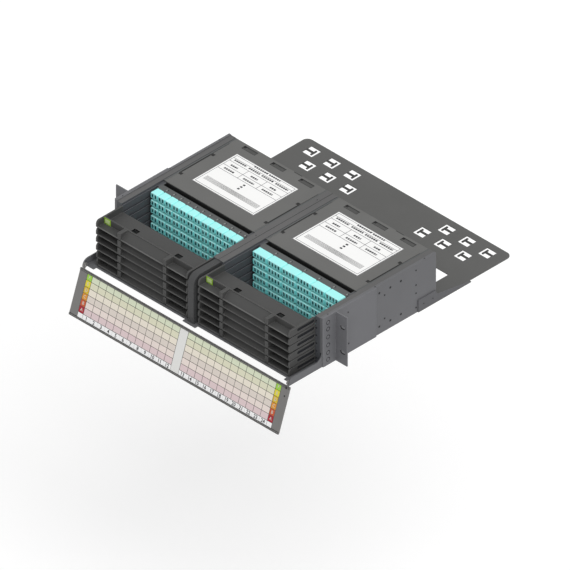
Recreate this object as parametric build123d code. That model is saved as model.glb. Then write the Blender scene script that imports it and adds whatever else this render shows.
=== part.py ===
from build123d import *
import os

os.makedirs("parts", exist_ok=True)

# A two-unit rack panel for fibre patching. X runs to the right, Y to the back and Z up, in
# millimetres. The origin is the centre of the four rack slots, on the front face of the ears.

# Driving dimensions: the rack interface
rack_width = 482.6
rack_slot_edge = 8.75
rack_slot_spacing_z = 44.45
rack_slot_length = 10.3
rack_slot_height = 6.8
panel_height = 88.1

# Driving dimensions: the folded steel chassis
ear_width = 25.3
body_depth = 211.5
steel = 1.5
hem = 4.0
wall_front = 27.0
strip_height = 12.5
strip_reach = 95.5
strip_corner_radius = 12.0
strip_end_radius = 11.0
floor_reach = 83.0
side_tongue_width = 17.0
centre_tongue_width = 26.0
tongue_reach = 89.0

# Driving dimensions: the bays and the six levels of drawers
outer_rail_width = 12.0
centre_rail_width = 21.0
levels = 6
levels_per_unit = 3
level_start = 2.4
level_pitch = 13.5
unit_gap = 1.0
drawer_side_clearance = 0.4

# Driving dimensions: the drawer guides
guide_front = 27.0
rail_step = 1.0
guide_fit = 0.1
runner_reach = 3.0
runner_height = 2.6
runner_rise = 6.6
runner_clearance = 0.3

# Driving dimensions: the cable tray at the front of each drawer
tray_front = 81.0
tray_back = 27.0
tray_height = 13.1
tray_floor = 2.1
tray_wall = 2.2
tray_side_wall = 2.8
tray_corner_radius = 6.0
tray_foot_chamfer = 1.9
tray_rebate = 1.2
cross_wall_front = 66.0
fin_spacing = 95.0
fin_width = 6.3
ramp_height = 9.0
ramp_run = 12.0
floor_hole = 11.5
floor_hole_spacing = 90.0
floor_hole_y = -50.0
side_slot_length = 36.0
side_slot_height = 5.2
side_slot_corner = 1.6
side_slot_y = -46.5
side_slot_rise = 7.7
side_slot_depth = 1.6
arm_thickness = 1.4
arm_rise = 2.5
arm_pad_length = 14.0
arm_pad_width = 4.6

# Driving dimensions: the cassettes
cassette_rise = 2.5
cassette_top = 15.7
cassette_front = 60.5
cassette_wall = 1.6
cassette_rail_width = 2.8
cover_thickness = 1.2
cover_gap = 1.1
cover_seat = 1.6
nose_front = 42.0
nose_top = 12.9
nose_groove = 7.0
cover_slot_length = 26.0
cover_slot_width = 7.0
cover_slot_inset = 8.5
runner_length = 147.0

# Driving dimensions: the front and rear adapters
adapter_front = 27.6
adapter_rise = 2.6
adapter_top = 12.8
adapter_gap = 0.3
adapter_end_gap = 0.4
port_pitch = 6.3
port_width = 4.2
port_height = 6.4
port_depth = 9.0
duplex_count = 12
quad_count = 6
trunk_places = (-58.0, 1.0, 60.0)
trunk_width = 19.0
trunk_height = 8.4
trunk_depth = 17.0
trunk_clearance = 0.2

# Driving dimensions: the nose between the bays
nose_thickness = 12.0
nose_reach = 85.0
nose_bend_radius = 16.0
nose_drop = 1.2

# Driving dimensions: the rack ears
ear_steel = 2.0
ear_leg_front = 26.5
ear_leg_back = 85.0
ear_edge_radius = 1.6

# Driving dimensions: the rear cable plate
rear_step = 2.0
rear_reach = 161.5
rear_corner_radius = 10.0
rear_side_rail = 32.0
rear_window_reach = 59.9
rear_lip = 3.0
rear_joint_gap = 0.3
flange_height = 21.7
flange_hold = 38.5
flange_step_start = 2.5
flange_step_end = 1.5
flange_drop = 13.0
flange_reach = 71.5
tie_window = 20.4
tie_stem_width = 3.4
tie_head_length = 12.4
tie_head_width = 2.8
tie_head_place = 14.6
tie_columns = 3
tie_column_pitch = 42.4
tie_row_insets = ((21.8, 30.4), (51.8, 51.4))

# Driving dimensions: the drop-down label door
door_overhang = 2.5
door_bottom = 6.6
door_top = 83.0
door_thickness = 2.4
door_open_angle = 161.0
hinge_y = -93.0
hinge_rise = 4.5
pin_radius = 1.5
pin_clearance = 0.05
arm_end_reach = 3.2
arm_end_chamfer = 1.3
door_arm_thickness = 3.0
door_arm_side_gap = 0.3
sheet_side_margin = 15.5
sheet_height = 71.0
sheet_thickness = 0.4
sheet_recess = 0.5
lip_height = 2.7
lip_proud = 0.9
lip_groove = 1.0

# Heights and widths that follow from the driving dimensions
bottom = -panel_height / 2
top = panel_height / 2
rack_slot_spacing_x = rack_width - 2 * rack_slot_edge
half_body = rack_width / 2 - ear_width
inner_wall = half_body - steel
half_bay = (inner_wall - outer_rail_width - centre_rail_width / 2) / 2
bay_centre = centre_rail_width / 2 + half_bay
half_drawer = half_bay - drawer_side_clearance
half_nose = half_drawer - arm_pad_width
rail_top = top - rail_step
hinge_z = bottom + hinge_rise
half_door = half_body + door_overhang
half_sheet = half_door - sheet_side_margin


def level_height(level):
    """Height of the underside of a drawer; the upper rack unit stands a little apart."""
    step = unit_gap if level >= levels_per_unit else 0.0
    return bottom + level_start + level * level_pitch + step


def plan(x0, x1, y0, y1):
    """A rectangle drawn in plan between four edges."""
    return Pos((x0 + x1) / 2, (y0 + y1) / 2) * Rectangle(abs(x1 - x0), abs(y1 - y0))


def raised(outline, low, high):
    """A plan outline extruded from one height to another."""
    return extrude(Pos(0, 0, low) * outline, amount=high - low)


def across(profile, x0, x1):
    """A side profile, drawn with Y across and Z up, extruded along X."""
    return extrude(Plane.YZ.offset(x0) * profile, amount=x1 - x0, dir=(1, 0, 0))


def side_plan(y0, y1, z0, z1):
    """A rectangle drawn in the side profile between four edges."""
    return Pos((y0 + y1) / 2, (z0 + z1) / 2) * Rectangle(abs(y1 - y0), abs(z1 - z0))


def mirrored(shape):
    """The same piece on the other side of the panel."""
    return mirror(shape, about=Plane.YZ)


# The chassis is one folded sheet: floor, two walls and a hem along the top of each wall.
def wall_profile():
    """Side wall: tall behind its front edge, cut down to a low strip that carries the hinge."""
    strip_top = bottom + strip_height
    outline = Polygon(
        (body_depth, bottom),
        (body_depth, top),
        (-wall_front, top),
        (-wall_front, strip_top),
        (-strip_reach, strip_top),
        (-strip_reach, bottom),
        align=None,
    )
    inner_corner = outline.vertices().sort_by_distance((-wall_front, strip_top, 0))[0]
    outline = fillet(inner_corner, strip_corner_radius)
    strip_end = outline.vertices().sort_by_distance((-strip_reach, strip_top, 0))[0]
    return fillet(strip_end, strip_end_radius)


def chassis_tray():
    floor = plan(-half_body, half_body, -floor_reach, body_depth)
    side_tongue = plan(half_body - side_tongue_width, half_body, -tongue_reach, -floor_reach)
    centre_tongue = plan(-centre_tongue_width / 2, centre_tongue_width / 2, -tongue_reach, -floor_reach)
    sheet = raised(floor + side_tongue + mirrored(side_tongue) + centre_tongue, bottom, bottom + steel)
    wall = across(wall_profile(), inner_wall, half_body)
    top_hem = raised(plan(half_body - hem, half_body, -wall_front, body_depth), top - steel, top)
    hem_foot = bottom + strip_height + strip_corner_radius
    front_hem = raised(plan(half_body - hem, half_body, -wall_front, -wall_front + steel), hem_foot, top)
    side = wall + top_hem + front_hem
    return sheet + side + mirrored(side)


# Each bay runs between two moulded guides with one groove for every level.
def guide(inside, outside, under_hem):
    """Guide moulding: its bay face is at inside, and its other face is at outside."""
    toward_wall = 1 if outside > inside else -1
    reach = runner_reach + runner_clearance
    body = raised(plan(inside, outside, -guide_front, body_depth), bottom + steel, rail_top)
    if under_hem:
        hem_edge = half_body - hem - guide_fit
        hem_under = top - steel - guide_fit
        hem_back = -wall_front + steel + guide_fit
        body -= raised(plan(hem_edge, outside, -guide_front, body_depth), hem_under, rail_top)
        body -= raised(plan(hem_edge, outside, -guide_front, hem_back), bottom + steel, rail_top)
    for level in range(levels):
        low = level_height(level) + runner_rise - runner_clearance
        groove = plan(inside, inside + toward_wall * reach, -guide_front, body_depth)
        body -= raised(groove, low, low + runner_height + 2 * runner_clearance)
    return body


def outer_guides():
    right = guide(bay_centre + half_bay, inner_wall - guide_fit, True)
    return [right, mirrored(right)]


def centre_guides():
    right = guide(bay_centre - half_bay, guide_fit / 2, False)
    return [right, mirrored(right)]


def centre_nose():
    """Moulded nose between the two stacks of trays, bent down to a post on the centre tongue."""
    high = rail_top - nose_drop
    profile = side_plan(-nose_reach, -guide_front, bottom + steel, high)
    front_top = profile.vertices().sort_by_distance((-nose_reach, high, 0))[0]
    return across(fillet(front_top, nose_bend_radius), -nose_thickness / 2, nose_thickness / 2)


# A rack ear stands out of a leg that lies flat on the side wall.
def ear():
    plate = Pos((half_body + rack_width / 2) / 2, 0) * Rectangle(rack_width / 2 - half_body, panel_height)
    for height in (-rack_slot_spacing_z / 2, rack_slot_spacing_z / 2):
        plate -= Pos(rack_slot_spacing_x / 2, height) * SlotOverall(rack_slot_length, rack_slot_height)
    upright = Plane(origin=(0, 0, 0), x_dir=(1, 0, 0), z_dir=(0, -1, 0))
    blade = extrude(upright * plate, amount=-ear_steel)
    leg = plan(half_body, half_body + ear_steel, -ear_leg_front, ear_leg_back)
    outer_edge = leg.vertices().sort_by_distance((half_body + ear_steel, -ear_leg_front, 0))[0]
    return blade + raised(fillet(outer_edge, ear_edge_radius), bottom, top)


# The rear cable plate hooks round the chassis with two upturned flanges.
def tie_cutout(x, y):
    """A square window that leaves a T-shaped tab for a cable tie, its stem on the outer side."""
    side = 1 if x > 0 else -1
    window = Pos(x, y) * Rectangle(tie_window, tie_window)
    outer_edge = x + side * tie_window / 2
    head_centre = outer_edge - side * tie_head_place
    stem = plan(outer_edge, head_centre, y - tie_stem_width / 2, y + tie_stem_width / 2)
    head = Pos(head_centre, y) * Rectangle(tie_head_width, tie_head_length)
    return window - stem - head


def rear_cable_plate():
    start = body_depth + rear_joint_gap
    half_flanged = half_body + ear_steel
    half_rear = half_body - rear_step
    half_window = half_rear - rear_side_rail
    rear_end = body_depth + rear_reach
    flange_end = body_depth + flange_reach
    narrow = plan(-half_rear, half_rear, start, rear_end)
    narrow = fillet(narrow.vertices().group_by(Axis.Y)[-1], rear_corner_radius)
    plate = narrow + plan(-half_flanged, half_flanged, start, flange_end)
    plate -= plan(-half_window, half_window, start + rear_lip, body_depth + rear_window_reach)
    for back_inset, side_inset in tie_row_insets:
        for column in range(tie_columns):
            x = half_rear - side_inset - column * tie_column_pitch
            plate -= tie_cutout(x, rear_end - back_inset) + tie_cutout(-x, rear_end - back_inset)
    flange_profile = Polygon(
        (body_depth - flange_hold, bottom),
        (body_depth - flange_hold, bottom + flange_height),
        (body_depth - flange_step_start, bottom + flange_height),
        (body_depth + flange_step_end, bottom + flange_drop),
        (flange_end, bottom + steel),
        (flange_end, bottom),
        align=None,
    )
    flange = across(flange_profile, half_body, half_flanged)
    return raised(plate, bottom, bottom + steel) + flange + mirrored(flange)


# The cable tray of one drawer, about its bay's centre line and above the drawer's underside.
def cable_tray():
    """Shallow open tray: floor, side walls, a cross wall and three open bays in front of it."""
    side_view = side_plan(-tray_front, -tray_back, 0, tray_height)
    front_top = side_view.vertices().sort_by_distance((-tray_front, tray_height, 0))[0]
    side_view = fillet(front_top, tray_corner_radius)
    front_foot = side_view.vertices().sort_by_distance((-tray_front, 0, 0))[0]
    tray = across(chamfer(front_foot, tray_foot_chamfer), -half_drawer, half_drawer)

    half_inside = half_drawer - tray_side_wall
    pocket = plan(-half_inside, half_inside, -cross_wall_front + tray_wall, -tray_back)
    tray -= raised(pocket, tray_floor, tray_height)
    front_bay = plan(-half_inside, half_inside, -tray_front, -cross_wall_front)
    tray -= raised(front_bay, tray_floor, tray_height)
    for side in (-1, 1):
        rebate = plan(side * half_inside, side * half_drawer, -tray_front, -tray_back)
        tray -= raised(rebate, 0, tray_rebate)

    # Two fins stand in the open front and keep the levels apart.
    fin_inside = fin_spacing / 2 - fin_width / 2
    fin_outside = fin_spacing / 2 + fin_width / 2
    for side in (-1, 1):
        fin = plan(side * fin_inside, side * fin_outside, -tray_front, -cross_wall_front)
        tray += raised(fin, tray_floor, tray_height)

    # The middle bay slopes up to the cross wall, so that fibres leave it in a gentle bend.
    ramp = Polygon(
        (-cross_wall_front, tray_floor),
        (-cross_wall_front, tray_floor + ramp_height),
        (-cross_wall_front - ramp_run, tray_floor),
        align=None,
    )
    tray += across(ramp, -fin_inside, fin_inside)

    # Two thin arms reach back to the cassette and end in a pad on each side of its nose.
    pad_front = cassette_front - arm_pad_length
    for side in (-1, 1):
        arm = plan(side * (half_drawer - arm_thickness), side * half_drawer, -tray_back, cassette_front)
        pad = plan(side * half_nose, side * half_drawer, pad_front, cassette_front)
        tray += raised(arm + pad, arm_rise, tray_height)

    for side in (-1, 1):
        hole = Pos(side * floor_hole_spacing / 2, floor_hole_y) * Rectangle(floor_hole, floor_hole)
        tray -= raised(hole, 0, tray_floor)
    slot = Pos(side_slot_y, side_slot_rise) * Rectangle(side_slot_length, side_slot_height)
    slot = chamfer(slot.vertices(), side_slot_corner)
    slot_pocket = across(slot, half_drawer - side_slot_depth, half_drawer)
    return tray - slot_pocket - mirrored(slot_pocket)


# A cassette is a moulded base, a flat cover and its rows of adapters.
def cassette_base():
    """Base: a shallow box with a low nose for the adapters and a runner along each side."""
    cover_under = cassette_top - cover_thickness
    half_cavity = half_drawer - cassette_rail_width - cover_gap - cover_seat
    back = body_depth
    body = raised(plan(-half_drawer, half_drawer, cassette_front, back), cassette_rise, cassette_top)
    half_cover_room = half_drawer - cassette_rail_width
    body -= raised(plan(-half_cover_room, half_cover_room, cassette_front, back), cover_under, cassette_top)
    cavity = plan(-half_cavity, half_cavity, cassette_front + cassette_wall, back - cassette_wall)
    body -= raised(cavity, cassette_rise + cassette_wall, cover_under)

    nose = raised(plan(-half_nose, half_nose, nose_front, cassette_front), cassette_rise, nose_top)
    half_groove = half_nose - cassette_wall
    groove = plan(-half_groove, half_groove, cassette_front - nose_groove, cassette_front)
    body += nose - raised(groove, cassette_rise + cassette_wall, nose_top)

    trunk_low = cassette_rise + cassette_wall
    for x in trunk_places:
        half_window = trunk_width / 2 + trunk_clearance
        window = plan(x - half_window, x + half_window, back - cassette_wall, back)
        body -= raised(window, trunk_low, trunk_low + trunk_height + trunk_clearance)

    runner_end = back - cassette_wall
    for side in (-1, 1):
        tip = side * (half_drawer + runner_reach)
        strip = plan(side * half_drawer, tip, runner_end - runner_length, runner_end)
        body += raised(strip, runner_rise, runner_rise + runner_height)
    return body


def cassette_cover():
    """Cover: a flat plate with three slots over the rear adapters."""
    half_cover = half_drawer - cassette_rail_width - cover_gap
    plate = plan(-half_cover, half_cover, cassette_front, body_depth)
    for x in trunk_places:
        slot = Rectangle(cover_slot_length, cover_slot_width)
        plate -= Pos(x, body_depth - cover_slot_inset) * slot
    return raised(plate, cassette_top - cover_thickness, cassette_top)


def adapter(width, ports):
    """Front adapter: a block with a row of upright ports."""
    body = raised(plan(-width / 2, width / 2, adapter_front, nose_front), adapter_rise, adapter_top)
    port_low = (adapter_rise + adapter_top - port_height) / 2
    for port in range(ports):
        x = (port - (ports - 1) / 2) * port_pitch
        hole = plan(x - port_width / 2, x + port_width / 2, adapter_front, adapter_front + port_depth)
        body -= raised(hole, port_low, port_low + port_height)
    return body


def trunk_adapter():
    """Rear adapter for a trunk cable, set in a window of the base's back wall."""
    low = cassette_rise + cassette_wall
    outline = plan(-trunk_width / 2, trunk_width / 2, body_depth - trunk_depth, body_depth)
    return raised(outline, low, low + trunk_height)


def adapter_row(count, ports):
    pitch = 2 * (half_nose - adapter_end_gap) / count
    single = adapter(pitch - adapter_gap, ports)
    row = [Pos((place - (count - 1) / 2) * pitch, 0, 0) * single for place in range(count)]
    trunk = trunk_adapter()
    return row + [Pos(x, 0, 0) * trunk for x in trunk_places]


# The door is drawn shut and upright over its hinge, then turned down to its open stop.
def opened(shape):
    """Turns a piece from the shut place of the door to the open one."""
    return Pos(0, hinge_y, hinge_z) * Rot(X=door_open_angle) * shape


def door_panel():
    inner_face = door_thickness / 2
    panel = raised(plan(-half_door, half_door, -inner_face, inner_face), door_bottom, door_top)
    sheet_low = (door_bottom + door_top - sheet_height) / 2
    recess = plan(-half_sheet, half_sheet, inner_face - sheet_recess, inner_face)
    panel -= raised(recess, sheet_low, sheet_low + sheet_height)
    for low in (door_bottom, door_top - lip_height):
        middle = low + lip_height / 2
        lip = plan(-half_door, half_door, inner_face, inner_face + lip_proud)
        panel += raised(lip, low, middle - lip_groove / 2)
        panel += raised(lip, middle + lip_groove / 2, low + lip_height)
    eye = side_plan(-arm_end_reach, arm_end_reach, -arm_end_reach, arm_end_reach)
    eye = chamfer(eye.vertices().group_by(Axis.Y)[0], arm_end_chamfer)
    eye += side_plan(-inner_face, inner_face, 0, door_bottom + lip_height)
    eye -= Circle(pin_radius + pin_clearance)
    arm_outside = inner_wall - door_arm_side_gap
    arm = across(eye, arm_outside - door_arm_thickness, arm_outside)
    return opened(panel + arm + mirrored(arm))


def door_label_sheet():
    sheet_low = (door_bottom + door_top - sheet_height) / 2
    back = door_thickness / 2 - sheet_recess
    sheet = raised(
        plan(-half_sheet, half_sheet, back, back + sheet_thickness),
        sheet_low,
        sheet_low + sheet_height,
    )
    return opened(sheet)


def hinge_pins():
    """A stud riveted to the inner face of each strip, through the eye of the door's arm."""
    pin = Pos(hinge_y, hinge_z) * Circle(pin_radius)
    right = across(pin, inner_wall - door_arm_side_gap - door_arm_thickness, inner_wall)
    return [right, mirrored(right)]


def save(shape, node):
    """Writes one node; a list of like pieces becomes one file of separate solids."""
    if isinstance(shape, list):
        shape = Compound(children=shape)
    export_step(shape, f"parts/{node}.step")


save(chassis_tray(), "chassis_tray")
save(outer_guides(), "outer_drawer_guides")
save(centre_guides(), "centre_drawer_guides")
save(centre_nose(), "centre_nose")
right_ear = ear()
save(right_ear, "right_rack_ear")
save(mirrored(right_ear), "left_rack_ear")
save(rear_cable_plate(), "rear_cable_plate")
save(door_panel(), "door_panel")
save(door_label_sheet(), "door_label_sheet")
save(hinge_pins(), "hinge_pins")

tray = cable_tray()
base = cassette_base()
cover = cassette_cover()
rows = {"left": adapter_row(duplex_count, 2), "right": adapter_row(quad_count, 4)}
for side, centre in (("left", -bay_centre), ("right", bay_centre)):
    for level in range(levels):
        place = Pos(centre, 0, level_height(level))
        number = level + 1
        save(place * tray, f"{side}_cable_tray_{number}")
        save(place * base, f"{side}_cassette_base_{number}")
        save(place * cover, f"{side}_cassette_cover_{number}")
        save([place * piece for piece in rows[side]], f"{side}_adapters_{number}")
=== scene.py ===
import math

import bpy
import numpy as np
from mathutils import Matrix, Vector


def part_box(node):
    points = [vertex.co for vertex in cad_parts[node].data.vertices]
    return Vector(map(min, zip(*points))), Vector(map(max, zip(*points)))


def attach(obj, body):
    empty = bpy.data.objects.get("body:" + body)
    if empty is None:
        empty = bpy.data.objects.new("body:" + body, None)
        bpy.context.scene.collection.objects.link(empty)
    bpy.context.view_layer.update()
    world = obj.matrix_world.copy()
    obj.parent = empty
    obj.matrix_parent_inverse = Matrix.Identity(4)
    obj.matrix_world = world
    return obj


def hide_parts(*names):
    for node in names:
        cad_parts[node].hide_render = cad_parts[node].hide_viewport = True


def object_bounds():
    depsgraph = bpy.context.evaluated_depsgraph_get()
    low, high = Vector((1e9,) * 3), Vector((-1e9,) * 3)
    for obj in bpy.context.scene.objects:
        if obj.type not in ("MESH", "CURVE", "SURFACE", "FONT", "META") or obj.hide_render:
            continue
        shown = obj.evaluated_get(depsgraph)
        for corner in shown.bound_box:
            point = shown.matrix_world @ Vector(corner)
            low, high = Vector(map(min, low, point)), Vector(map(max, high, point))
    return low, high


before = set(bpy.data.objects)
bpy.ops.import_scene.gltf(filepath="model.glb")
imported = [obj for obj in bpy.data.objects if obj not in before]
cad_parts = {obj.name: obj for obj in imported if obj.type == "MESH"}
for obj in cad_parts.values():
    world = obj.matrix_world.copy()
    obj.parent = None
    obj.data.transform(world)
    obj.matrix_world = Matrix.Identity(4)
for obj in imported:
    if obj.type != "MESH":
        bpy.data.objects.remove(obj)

cad_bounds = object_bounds()
mm = 0.001
bpy.context.scene.view_settings.view_transform = "Standard"

# The panel hangs in its rack, so it is shown in the air over a pale floor. It is seen from above
# its right front corner along the diagonal of a cube, and without perspective.
view_target = Vector((56 * mm, 56 * mm, -16.75 * mm))
view_width = 842 * mm
view_distance = 2.0
camera_data = bpy.data.cameras.new("catalogue_view")
camera_data.type = "ORTHO"
camera_data.ortho_scale = view_width
camera = bpy.data.objects.new("catalogue_view", camera_data)
bpy.context.scene.collection.objects.link(camera)
toward_camera = Vector((1, -1, 1)).normalized()
camera.location = view_target + toward_camera * view_distance
camera.rotation_euler = toward_camera.to_track_quat("Z", "Y").to_euler()
bpy.context.scene.camera = camera


def seen_directly(nodes, links):
    """One for what the camera sees, and for what mirrors and clear pieces show it; else nothing."""
    path = nodes.new("ShaderNodeLightPath")
    seen = path.outputs["Is Camera Ray"]
    for ray in ("Is Glossy Ray", "Is Transmission Ray"):
        either = nodes.new("ShaderNodeMath")
        either.operation = "MAXIMUM"
        links.new(seen, either.inputs[0])
        links.new(path.outputs[ray], either.inputs[1])
        seen = either.outputs[0]
    return seen


def studio_world(level):
    """Even light from all round; the camera and mirror-like rays see plain white instead."""
    world = bpy.data.worlds.new("soft_studio")
    bpy.context.scene.world = world
    world.use_nodes = True
    nodes, links = world.node_tree.nodes, world.node_tree.links
    nodes.clear()
    out = nodes.new("ShaderNodeOutputWorld")
    lit = nodes.new("ShaderNodeBackground")
    lit.inputs["Color"].default_value = (1, 1, 1, 1)
    lit.inputs["Strength"].default_value = level
    white = nodes.new("ShaderNodeBackground")
    white.inputs["Color"].default_value = (1, 1, 1, 1)
    pick = nodes.new("ShaderNodeMixShader")
    links.new(seen_directly(nodes, links), pick.inputs["Fac"])
    links.new(lit.outputs[0], pick.inputs[1])
    links.new(white.outputs[0], pick.inputs[2])
    links.new(pick.outputs[0], out.inputs["Surface"])


studio_world(0.62)


def soft_sun(name, direction, strength, spread):
    """A broad lamp far away: light comes from direction, blurred over the spread angle."""
    lamp = bpy.data.lights.new(name, "SUN")
    lamp.energy, lamp.angle = strength, math.radians(spread)
    holder = bpy.data.objects.new(name, lamp)
    holder.rotation_euler = Vector(direction).to_track_quat("Z", "Y").to_euler()
    bpy.context.scene.collection.objects.link(holder)


soft_sun("right_window", (0.75, -0.35, 1.1), 1.5, 50)

half_floor, floor_drop = 6.0, 520 * mm
floor_z = cad_bounds[0][2] - floor_drop
floor_mesh = bpy.data.meshes.new("studio_floor")
floor_mesh.from_pydata([(x * half_floor, y * half_floor, floor_z)
                        for x, y in ((-1, -1), (1, -1), (1, 1), (-1, 1))], [], [(0, 1, 2, 3)])
studio_floor = bpy.data.objects.new("studio_floor", floor_mesh)
bpy.context.scene.collection.objects.link(studio_floor)
floor_paint = bpy.data.materials.new("studio_floor")
floor_paint.use_nodes = True
floor_shader = floor_paint.node_tree.nodes["Principled BSDF"]
floor_shader.inputs["Base Color"].default_value = (0.75, 0.75, 0.75, 1)
floor_shader.inputs["Roughness"].default_value = 0.9
floor_shader.inputs["Specular IOR Level"].default_value = 0.0
floor_shader.inputs["Emission Color"].default_value = (1, 1, 1, 1)
floor_nodes, floor_links = floor_paint.node_tree.nodes, floor_paint.node_tree.links
floor_glow = floor_nodes.new("ShaderNodeMath")
floor_glow.operation = "MULTIPLY"
floor_glow.inputs[1].default_value = 0.32
floor_links.new(seen_directly(floor_nodes, floor_links), floor_glow.inputs[0])
floor_links.new(floor_glow.outputs[0], floor_shader.inputs["Emission Strength"])
floor_mesh.materials.append(floor_paint)


# The chassis is one sheet of 1.5 mm steel, folded to a floor, two walls and their hems, and
# powder coated dark grey. Its two front strips carry the hinge of the door.
def surface_finish(name, tone, roughness, grain, relief, mottle=0.05, edge=0.35, edge_width=0.5,
                   specular=0.3, printed=False, split=None):
    """A coated or moulded surface: the tone drifts a little with a coarse noise, the surface
    carries a fine grain in relief, and edges carry a painted highlight, lighter where the bevelled
    normal leaves the true one. A printed surface takes its tone from the colours kept in its mesh,
    and a split one has a second tone before a place, in millimetres, on the axis that it names."""
    material = bpy.data.materials.new(name)
    material.use_nodes = True
    nodes, links = material.node_tree.nodes, material.node_tree.links
    shader = nodes["Principled BSDF"]
    place = nodes.new("ShaderNodeTexCoord")

    drift = nodes.new("ShaderNodeTexNoise")
    drift.inputs["Scale"].default_value = 14
    drift.inputs["Detail"].default_value = 5
    links.new(place.outputs["Object"], drift.inputs["Vector"])
    shade = nodes.new("ShaderNodeMapRange")
    shade.inputs["From Min"].default_value = 0.3
    shade.inputs["From Max"].default_value = 0.7
    shade.inputs["To Min"].default_value = 1 - mottle
    shade.inputs["To Max"].default_value = 1 + mottle
    links.new(drift.outputs["Fac"], shade.inputs["Value"])

    rounded = nodes.new("ShaderNodeBevel")
    rounded.samples = 4
    rounded.inputs["Radius"].default_value = edge_width * mm
    true = nodes.new("ShaderNodeNewGeometry")
    match = nodes.new("ShaderNodeVectorMath")
    match.operation = "DOT_PRODUCT"
    links.new(rounded.outputs["Normal"], match.inputs[0])
    links.new(true.outputs["Normal"], match.inputs[1])
    # Painted highlight on edges: up to edge more tone where the bevelled normal turns from the true
    # one.
    edge_highlight = nodes.new("ShaderNodeMapRange")
    edge_highlight.inputs["From Min"].default_value = 1.0
    edge_highlight.inputs["From Max"].default_value = 0.75
    edge_highlight.inputs["To Min"].default_value = 0.0
    edge_highlight.inputs["To Max"].default_value = edge
    links.new(match.outputs["Value"], edge_highlight.inputs["Value"])
    level = nodes.new("ShaderNodeMath")
    level.operation = "ADD"
    links.new(shade.outputs["Result"], level.inputs[0])
    links.new(edge_highlight.outputs["Result"], level.inputs[1])
    colour = nodes.new("ShaderNodeVectorMath")
    colour.operation = "SCALE"
    if printed:
        ink = nodes.new("ShaderNodeAttribute")
        ink.attribute_name = "print"
        links.new(ink.outputs["Color"], colour.inputs[0])
    elif split is not None:
        axis, border, near_tone = split
        along = nodes.new("ShaderNodeSeparateXYZ")
        past = nodes.new("ShaderNodeMath")
        past.operation = "GREATER_THAN"
        past.inputs[1].default_value = border * mm
        tones = nodes.new("ShaderNodeVectorMath")
        tones.operation = "MULTIPLY_ADD"
        tones.inputs[1].default_value = np.subtract(tone, near_tone)
        tones.inputs[2].default_value = near_tone
        links.new(place.outputs["Object"], along.inputs[0])
        links.new(along.outputs[axis], past.inputs[0])
        links.new(past.outputs[0], tones.inputs[0])
        links.new(tones.outputs["Vector"], colour.inputs[0])
    else:
        colour.inputs[0].default_value = tone
    links.new(level.outputs[0], colour.inputs["Scale"])
    links.new(colour.outputs["Vector"], shader.inputs["Base Color"])

    fine = nodes.new("ShaderNodeTexNoise")
    fine.inputs["Scale"].default_value = 1000 / grain
    fine.inputs["Detail"].default_value = 3
    links.new(place.outputs["Object"], fine.inputs["Vector"])
    relief_node = nodes.new("ShaderNodeBump")
    relief_node.inputs["Strength"].default_value = 0.6
    relief_node.inputs["Distance"].default_value = relief * mm
    links.new(fine.outputs["Fac"], relief_node.inputs["Height"])
    links.new(rounded.outputs["Normal"], relief_node.inputs["Normal"])
    links.new(relief_node.outputs["Normal"], shader.inputs["Normal"])
    gloss = nodes.new("ShaderNodeMapRange")
    gloss.inputs["To Min"].default_value = roughness - 0.08
    gloss.inputs["To Max"].default_value = roughness + 0.08
    links.new(fine.outputs["Fac"], gloss.inputs["Value"])
    links.new(gloss.outputs["Result"], shader.inputs["Roughness"])
    shader.inputs["Specular IOR Level"].default_value = specular
    return material


def dress(node, material):
    """Puts this material on the node in place of what it came with."""
    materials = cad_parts[node].data.materials
    materials.clear()
    materials.append(material)


chassis_coat = surface_finish("chassis_powder_coat", (0.134, 0.135, 0.142), 0.55, 0.7, 0.03)
dress("chassis_tray", chassis_coat)
body_low, body_high = (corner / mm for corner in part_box("chassis_tray"))
panel_bottom, panel_top = body_low.z, body_high.z


def add_piece(name, body, points, faces, materials, paint=None):
    """A mesh from points in millimetres that rides on a body; paint gives each face's material."""
    mesh = bpy.data.meshes.new(name)
    mesh.from_pydata((np.asarray(points) * mm).tolist(), [], faces)
    for material in materials:
        mesh.materials.append(material)
    if paint is not None:
        mesh.polygons.foreach_set("material_index", np.asarray(paint, np.int32))
    piece = bpy.data.objects.new(name, mesh)
    bpy.context.scene.collection.objects.link(piece)
    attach(piece, body)
    return piece


def turned_heads(profile, centres, outward, sides=12, run=(0, 0, 0), ring=False):
    """Round heads, one at each centre: the profile's (radius, height) pairs are turned about the
    outward axis, point = centre + radius (cos t side + sin t rise) + height outward. A run is the
    way by which it pulls the circle's two halves apart, and a flat cap closes each end, unless
    the head is a ring, whose last pair joins its first. Gives the points, the faces and each
    face's place along the profile."""
    radius, height = np.array(profile, float).T
    outward, run = np.array(outward, float), np.array(run, float)
    side = np.roll(outward, 1)
    rise = np.cross(outward, side)
    t = (np.arange(sides) + 0.5) * 2 * np.pi / sides
    round_about = np.cos(t)[:, None] * side + np.sin(t)[:, None] * rise
    one = radius[:, None, None] * round_about + height[:, None, None] * outward
    one = one + np.sign(round_about @ run)[:, None] * run / 2
    points = np.asarray(centres, float)[:, None, None] + one
    rings = len(radius)
    band, turn = np.indices((rings if ring else rings - 1, sides))
    after, beyond = (turn + 1) % sides, (band + 1) % rings
    bands = np.stack([band * sides + turn, band * sides + after,
                      beyond * sides + after, beyond * sides + turn], -1).reshape(-1, 4)
    faces, where = [], []
    for start in np.arange(len(centres)) * rings * sides:
        faces += (bands + start).tolist()
        where += band.ravel().tolist()
        if not ring:
            faces.append((np.arange(sides)[::-1] + start).tolist())
            faces.append((np.arange(sides) + (rings - 1) * sides + start).tolist())
            where += [0, rings - 1]
    return points.reshape(-1, 3), faces, np.array(where)
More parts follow.
